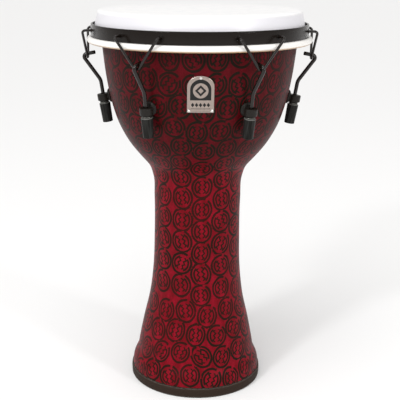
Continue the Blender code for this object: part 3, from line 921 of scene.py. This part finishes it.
def shell_outline():
    """The shell's section, and where in it the rim ends and the foot begins."""
    outer_heights = np.concatenate([np.arange(CURVE_HIGH, CURVE_LOW, -SHELL_STEP), [CURVE_LOW]])
    edge_out = float(shell_radius(CURVE_HIGH))
    wall_top = edge_out - SHELL_WALL
    middle = (edge_out + wall_top) / 2.0
    half = SHELL_WALL / 2.0
    rim = arc((middle, SHELL_TOP - half), half, pi, 0.0, RIM_RINGS)
    outer = [(float(shell_radius(h)), float(h)) for h in outer_heights]
    foot = [(RABBET_RADIUS, RABBET_TOP + GAP), (RABBET_RADIUS, SHELL_BOTTOM),
            (RABBET_RADIUS - SHELL_WALL, SHELL_BOTTOM)]
    inner = [(float(shell_radius(h) - SHELL_WALL * hypot(1.0, shell_slope(h))), float(h))
             for h in np.linspace(CURVE_LOW, INNER_HIGH, INNER_RINGS)]
    return rim + outer + foot + inner, len(rim), len(rim) + len(outer)


def make_shell():
    outline, rim_end, foot_start = shell_outline()
    mesh = turned_mesh(outline, ROUND)
    angles, alongs, shapes, places, heights, arcs = print_centres()
    tree = kdtree.KDTree(len(places))
    for index, centre in enumerate(places):
        tree.insert(centre, index)
    tree.balance()
    motif = mesh.uv_layers.new(name="motif")
    for face in mesh.polygons:
        ring = max(face.vertices) // ROUND
        if ring >= foot_start or ring < rim_end - 2:
            face.material_index = 1
        _, owner, _ = tree.find(face.center)
        angle = angles[owner]
        along = alongs[owner]
        tilt, width, tall = shapes[owner]
        for loop in face.loop_indices:
            x, y, z = mesh.vertices[mesh.loops[loop].vertex_index].co
            turn = (atan2(y, x) - angle + pi) % (2.0 * pi) - pi
            u = turn * hypot(x, y)
            v = float(np.interp(z, heights, arcs)) - along
            motif.data[loop].uv = (
                (u * cos(tilt) + v * sin(tilt)) / (PRINT_RADIUS * width),
                (v * cos(tilt) - u * sin(tilt)) / (PRINT_RADIUS * tall))
    mesh.materials.append(printed_shell_material())
    mesh.materials.append(shell_inside_material())
    finish_mesh(mesh, 50.0)
    add_piece("shell_skin", mesh, mesh.materials[0], "drum", "shell")


# ---- the other round pieces

def make_foot_ring():
    mesh = finish_mesh(turned_mesh(rounded_outline(FOOT_SECTION), ROUND))
    add_piece("foot_rubber", mesh, rubber_material(), "drum", "foot_ring")


def make_head_film():
    """The film: a slightly domed bearing edge, a sloping collar and a skirt to the hoop."""
    first, last = HEAD_FLAT
    outer = [(0.0, HEAD_TOP)] + [(r, HEAD_TOP) for r in np.linspace(first, last, 14)]
    outer += arc(HEAD_CORNER, HEAD_CORNER_RADIUS, pi / 2.0, HEAD_CORNER_END, 12)
    outer += COLLAR
    inner = [(radius - FILM, height) for radius, height in outer[:-len(COLLAR) - 2:-1]]
    inner += arc(HEAD_CORNER, HEAD_CORNER_RADIUS - FILM, HEAD_CORNER_END, pi / 2.0, 8)
    inner += [(r, HEAD_TOP - FILM) for r in np.linspace(last, first, 8)] + [(0.0, HEAD_TOP - FILM)]
    mesh = finish_mesh(turned_mesh(outer + inner, ROUND), 60.0)
    add_piece("film", mesh, film_material(), "head", "head_film")


def make_flesh_hoop():
    outline = arc(FLESH_CENTRE, FLESH_TUBE, pi / 2.0, -1.5 * pi, FLESH_RINGS)[:-1]
    mesh = finish_mesh(turned_mesh(outline, ROUND), 60.0)
    add_piece("white_hoop", mesh, white_hoop_material(), "head", "flesh_hoop")


def make_counterhoop(enamel):
    inner = BAND_RADIUS - BAND_WALL
    outline = rounded_outline(
        [(inner, BAND_TOP, BAND_INNER_EDGE), (BAND_RADIUS, BAND_TOP, BAND_OUTER_EDGE),
         (BAND_RADIUS, BAND_BOTTOM, BAND_OUTER_EDGE), (inner, BAND_BOTTOM, BAND_INNER_EDGE)], 4)
    blank = turned_mesh(outline, ROUND)
    drill = bar(HOLE_RADIUS, -BAND_DRILL, BAND_DRILL, SHAFT_ROUND)
    eyelet = turned_mesh(rounded_outline(
        [(HOLE_RADIUS, EYELET_LIFT, 0.0003), (EYELET_RADIUS, EYELET_LIFT, 0.0005),
         (EYELET_RADIUS, -EYELET_ROOT, 0.0), (HOLE_RADIUS, -EYELET_ROOT, 0.0)], 3), BORE_ROUND)
    seat = Matrix.Translation((BAND_RADIUS, 0.0, HOLE_HEIGHT)) @ Matrix.Rotation(pi / 2.0, 4, "Y")
    holes = []
    eyelets = []
    for index in range(STATIONS):
        for side in (-1, 1):
            aim = Matrix.Rotation(side * HOLE_ANGLE, 4, "Z")
            place = station_matrix(index) @ aim @ seat
            holes.append((drill, place))
            eyelets.append((eyelet, place))
    band = cut(cut(blank, holes), [(joined(eyelets), HERE)], "UNION")
    add_piece("band", finish_mesh(band, 35.0), enamel, "head", "counterhoop")


# ---- tuning stations

def hook_hinge():
    """Distance from the drum's axis to the line through a hook's two holes."""
    return (BAND_RADIUS - BAND_WALL / 2.0) * cos(HOLE_ANGLE)


def hook_point(radius, height, angle):
    """A point of a hook, measured from its hinge."""
    return Vector((radius * cos(angle) - hook_hinge(), radius * sin(angle), height - HOLE_HEIGHT))


def make_rim_hooks(enamel):
    points = [
        hook_point(HOOK_INNER_END, HOLE_HEIGHT, -HOLE_ANGLE),
        hook_point(HOOK_CORNER, HOLE_HEIGHT, -HOLE_ANGLE),
        hook_point(*HOOK_VERTEX, 0.0),
        hook_point(HOOK_CORNER, HOLE_HEIGHT, HOLE_ANGLE),
        hook_point(HOOK_INNER_END, HOLE_HEIGHT, HOLE_ANGLE),
    ]
    path = evenly(filleted_path(points, HOOK_BENDS, 10), SWEEP_STEP)
    mesh = finish_mesh(swept_mesh(path, lambda distance, angle: HOOK_WIRE, WIRE_ROUND, 0.1))
    place = Matrix.Translation((hook_hinge(), 0.0, HOLE_HEIGHT))
    add_at_stations(("hook_wire", mesh, enamel, "rim_hook", place, True))


def thread_radius(distance, angle):
    """The rod's radius: a helical thread at its lower end, then plain."""
    if distance > THREAD_LENGTH:
        return ROD_RADIUS
    turn = (distance / THREAD_PITCH - angle / (2.0 * pi)) % 1.0
    ridge = 1.0 - abs(2.0 * turn - 1.0)
    fade = min(1.0, (THREAD_LENGTH - distance) / THREAD_FADE)
    return ROD_RADIUS - THREAD_DEPTH * fade * (1.0 - ridge)


def make_tension_rods(enamel):
    def local(point):
        return Vector((point[0] - ROD_POINT[0], 0.0, point[1] - ROD_POINT[1]))

    low = local(rod_axis_point(-ROD_LOWER_END))
    threaded = local(rod_axis_point(THREAD_LENGTH - ROD_LOWER_END))
    knee = local(rod_axis_point(ROD_KNEE))
    bent = filleted_path([threaded, knee, local(ROD_ELBOW), local(ROD_TIP)], ROD_BENDS, 14)
    path = evenly([low, threaded], THREAD_PITCH / THREAD_RINGS) + evenly(bent, SWEEP_STEP)[1:]
    mesh = finish_mesh(swept_mesh(path, thread_radius, SHAFT_ROUND, 0.25), 55.0)
    place = Matrix.Translation((ROD_POINT[0], 0.0, ROD_POINT[1]))
    add_at_stations(("rod_bar", mesh, enamel, "tension_rod", place, True))


def lug_mesh():
    half = EYE_HEIGHT / 2.0
    boss_low = -half - BOSS_HEIGHT
    eye = turned_mesh(rounded_outline(
        [(0.0, half, 0.0), (EYE_RADIUS, half, 0.0012), (EYE_RADIUS, -half, 0.0010),
         (BOSS_RADIUS, -half, 0.0006), (BOSS_RADIUS, boss_low, 0.0005), (0.0, boss_low, 0.0)]), SMALL_ROUND)
    base = turned_mesh(rounded_outline(
        [(0.0, BASE_HEIGHT, 0.0), (BASE_RADIUS * BASE_TOP_SHARE, BASE_HEIGHT, 0.0030),
         (BASE_RADIUS, BASE_HEIGHT * BASE_EDGE_SHARE, 0.0015), (BASE_RADIUS, 0.0, 0.0),
         (0.0, 0.0, 0.0)]), SMALL_ROUND)
    eye_frame = rod_axis_matrix(0.0)
    base_frame = bolt_axis_matrix() @ Matrix.Translation((0.0, 0.0, GAP))
    body = cast_mesh(joined([(eye, eye_frame), (base, base_frame)]), CAST_VOXEL, CAST_PASSES)
    hole = bar(EYE_HOLE, -0.02, 0.02, BORE_ROUND)
    flare_radius, flare_top = EYE_FLARE
    flare_low = half - EYE_FLARE_DEPTH
    flare = turned_mesh([(0.0, flare_top), (flare_radius, flare_top), (EYE_HOLE, flare_low),
                         (0.0, flare_low)], BORE_ROUND)
    return finish_mesh(cut(body, [(hole, eye_frame), (flare, eye_frame)]), 45.0)


def make_lugs():
    mesh = lug_mesh()
    add_at_stations(("lug_casting", mesh, black_casting_material(), "lug", HERE, False))


def washer_mesh(radius, hole, height):
    edge = height * 0.3
    corners = ((hole, height), (radius, height), (radius, 0.0), (hole, 0.0))
    outline = rounded_outline([(*corner, edge) for corner in corners], 3)
    return finish_mesh(turned_mesh(outline, SMALL_ROUND), 50.0)


def nut_mesh():
    blank = turned_mesh(rounded_outline(
        [(NUT_BORE, 0.0, 0.0), (NUT_TOP_RADIUS, 0.0, 0.0008),
         (NUT_TOP_RADIUS * NUT_NECK_SHARE, -NUT_NECK, 0.0030),
         (NUT_BOTTOM_RADIUS, -NUT_LENGTH, 0.0012), (NUT_BORE, -NUT_LENGTH, 0.0)]), SMALL_ROUND)
    socket = bar(KEY_SOCKET_RADIUS, -NUT_LENGTH - KEY_SOCKET_REACH, -NUT_LENGTH + KEY_SOCKET_DEPTH, 6)
    return finish_mesh(cut(blank, [(socket, HERE)]), 40.0)


def make_nuts(zinc):
    washer_top = -EYE_HEIGHT / 2.0 - BOSS_HEIGHT - GAP
    washer_low = washer_top - NUT_WASHER_HEIGHT
    washer = washer_mesh(WASHER_RADIUS, WASHER_HOLE, NUT_WASHER_HEIGHT)
    nut = nut_mesh()
    steel = dark_steel_material()
    add_at_stations(
        ("washer_under_lug", washer, zinc, "nut_washer", rod_axis_matrix(washer_low), False),
        ("long_nut", nut, steel, "tuning_nut", rod_axis_matrix(washer_low - GAP), True))


def make_lug_bolts(zinc):
    """Hexagon bolts whose heads have chamfered corners, inside the shell."""
    washer_in = -SHELL_WALL - BOLT_STANDOFF - BOLT_WASHER_HEIGHT
    head_top = washer_in - GAP
    head_low = head_top - BOLT_HEAD_HEIGHT
    hexagon = bar(BOLT_HEAD_RADIUS, head_low, head_top, 6)
    chamfer = turned_mesh([(0.0, head_top), (BOLT_HEAD_RADIUS, head_top),
                           (BOLT_HEAD_RADIUS, head_low + BOLT_CHAMFER),
                           (BOLT_HEAD_RADIUS - BOLT_CHAMFER, head_low), (0.0, head_low)], SMALL_ROUND)
    head = cut(hexagon, [(chamfer, HERE)], "INTERSECT")
    shank = bar(BOLT_RADIUS, head_top - BOLT_ROOT, BOLT_DEPTH, SHAFT_ROUND)
    bolt = finish_mesh(cut(head, [(shank, HERE)], "UNION"), 25.0)
    washer = washer_mesh(WASHER_RADIUS, WASHER_HOLE, BOLT_WASHER_HEIGHT)
    axis = bolt_axis_matrix()
    seat = axis @ Matrix.Translation((0.0, 0.0, washer_in))
    add_at_stations(("inner_bolt", bolt, zinc, "lug_bolt", axis, False),
                    ("inner_washer", washer, zinc, "lug_washer", seat, False))


# ---- badge

def badge_top_at(across):
    share = min(1.0, abs(across) / (BADGE_WIDTH / 2.0))
    return BADGE_TOP - BADGE_ARCH * (1.0 - (1.0 - share**2) ** 0.5)


def badge_relief(across, up, top):
    """Height of the plate's face: a raised rim round a flat field."""
    edge = min(BADGE_WIDTH / 2.0 - abs(across), up, (top - up) * 0.9)
    half_rim = BADGE_RIM * 0.5
    roll = max(0.0, 1.0 - abs(edge - half_rim) / half_rim)
    return BADGE_BACK + BADGE_PLATE + BADGE_RIM_LIFT * (roll * roll * (3.0 - 2.0 * roll)) ** 0.5


def make_badge():
    columns = BADGE_COLUMNS
    rows = BADGE_ROWS
    work = bmesh.new()
    plate_map = work.loops.layers.uv.new("plate")
    flat = {}
    layers = []
    for front in (False, True):
        grid = []
        for column in range(columns + 1):
            across = BADGE_WIDTH * (column / columns - 0.5)
            top = badge_top_at(across)
            line = []
            for row in range(rows + 1):
                height = BADGE_BOTTOM + (top - BADGE_BOTTOM) * row / rows
                up = height - BADGE_BOTTOM
                lift = badge_relief(across, up, top - BADGE_BOTTOM) if front else BADGE_BACK
                vert = work.verts.new(badge_matrix(across, height) @ Vector((0.0, 0.0, lift)))
                flat[vert] = (across * MILLIMETRE, up * MILLIMETRE)
                line.append(vert)
            grid.append(line)
        layers.append(grid)
    back, face = layers
    for column in range(columns):
        for row in range(rows):
            corners = ((column, row), (column + 1, row), (column + 1, row + 1), (column, row + 1))
            work.faces.new([face[i][j] for i, j in corners])
            work.faces.new([back[i][j] for i, j in reversed(corners)])
    rim = [(column, 0) for column in range(columns)] + [(columns, row) for row in range(rows)]
    rim += [(column, rows) for column in range(columns, 0, -1)] + [(0, row) for row in range(rows, 0, -1)]
    for (column, row), (next_column, next_row) in zip(rim, rim[1:] + rim[:1]):
        work.faces.new([face[next_column][next_row], face[column][row],
                        back[column][row], back[next_column][next_row]])
    bmesh.ops.recalc_face_normals(work, faces=work.faces)
    for made_face in work.faces:
        for loop in made_face.loops:
            loop[plate_map].uv = flat[loop.vert]
    mesh = bpy.data.meshes.new("badge")
    work.to_mesh(mesh)
    work.free()
    add_piece("badge", finish_mesh(mesh, 40.0), badge_material(), "drum", "badge_plate")


def make_badge_rivets():
    side = BADGE_WIDTH / 2.0 - RIVET_INSET
    places = {"top": badge_matrix(0.0, BADGE_TOP - RIVET_INSET),
              "left": badge_matrix(-side, BADGE_BOTTOM + RIVET_INSET),
              "right": badge_matrix(side, BADGE_BOTTOM + RIVET_INSET)}
    radius, rise = RIVET_HEAD
    outline = [(radius * sin(a), RIVET_SEAT + rise * cos(a)) for a in np.linspace(0.0, pi / 2.0, 9)]
    outline += [(RIVET_RADIUS, RIVET_SEAT), (RIVET_RADIUS, -RIVET_TAIL), (0.0, -RIVET_TAIL)]
    mesh = finish_mesh(turned_mesh(outline, BORE_ROUND), 50.0)
    metal = rivet_material()
    for name, matrix in places.items():
        add_piece(f"rivet_{name}", mesh, metal, "drum", f"badge_rivet_{name}", matrix)


# ---- stage

def make_stage():
    """A plain pale floor and soft studio lights."""
    bpy.ops.mesh.primitive_plane_add(size=FLOOR_SIZE, location=(0.0, 0.0, -FLOOR_DROP))
    floor = bpy.context.object
    floor.name = "floor"
    made = Shader("floor")
    tone = made.mix(made.noise(3.0), colour(0.86, 0.86, 0.86), colour(0.89, 0.89, 0.89))
    floor.data.materials.append(made.surface(Base_Color=tone, Roughness=0.9, Specular_IOR_Level=0.1))
    world = bpy.data.worlds.new("studio")
    world.use_nodes = True
    background = world.node_tree.nodes["Background"]
    background.inputs[0].default_value = colour(1.0, 0.99, 0.98)
    background.inputs[1].default_value = SKY_STRENGTH
    bpy.context.scene.world = world
    data = bpy.data.lights.new("overhead", "SUN")
    data.energy = SUN_STRENGTH
    data.angle = SUN_SPREAD
    place_light(data, SUN_PLACE)
    for name, place, power in SOFTBOXES:
        data = bpy.data.lights.new(name, "AREA")
        data.size = SOFTBOX_SIZE
        data.energy = power
        place_light(data, place)


def place_light(data, place):
    """A light at a place, aimed at the middle of the drum."""
    light = bpy.data.objects.new(data.name, data)
    light.location = place
    aim = Vector(LIGHT_TARGET) - Vector(place)
    light.rotation_mode = "QUATERNION"
    light.rotation_quaternion = aim.to_track_quat("-Z", "Y")
    bpy.context.scene.collection.objects.link(light)


def make_camera():
    """The camera stands a little above the head and looks down at the drum."""
    data = bpy.data.cameras.new("camera")
    data.sensor_width = CAMERA_SENSOR
    data.lens = CAMERA_LENS
    data.shift_x = CAMERA_SHIFT
    camera = bpy.data.objects.new("camera", data)
    camera.location = CAMERA_PLACE
    right = Vector((cos(CAMERA_YAW), sin(CAMERA_YAW), 0.0))
    level = cos(CAMERA_PITCH)
    ahead = Vector((-sin(CAMERA_YAW) * level, cos(CAMERA_YAW) * level, -sin(CAMERA_PITCH)))
    up = right.cross(ahead)
    tilted_right = right * cos(CAMERA_ROLL) + up * sin(CAMERA_ROLL)
    tilted_up = up * cos(CAMERA_ROLL) - right * sin(CAMERA_ROLL)
    axes = Matrix((tilted_right, tilted_up, -ahead)).transposed()
    camera.rotation_mode = "QUATERNION"
    camera.rotation_quaternion = axes.to_quaternion()
    bpy.context.scene.collection.objects.link(camera)
    bpy.context.scene.camera = camera


def main():
    enamel = black_enamel_material("band_enamel", 0.08, 0.20, 0.35)
    wire = black_enamel_material("wire_enamel", 0.12, 0.38, 0.2)
    zinc = zinc_material()
    make_shell()
    make_foot_ring()
    make_head_film()
    make_flesh_hoop()
    make_counterhoop(enamel)
    make_rim_hooks(wire)
    make_tension_rods(wire)
    make_lugs()
    make_nuts(zinc)
    make_lug_bolts(zinc)
    make_badge()
    make_badge_rivets()
    make_stage()
    make_camera()
    bpy.context.scene.view_settings.view_transform = "Standard"


main()
bpy.context.view_layer.update()
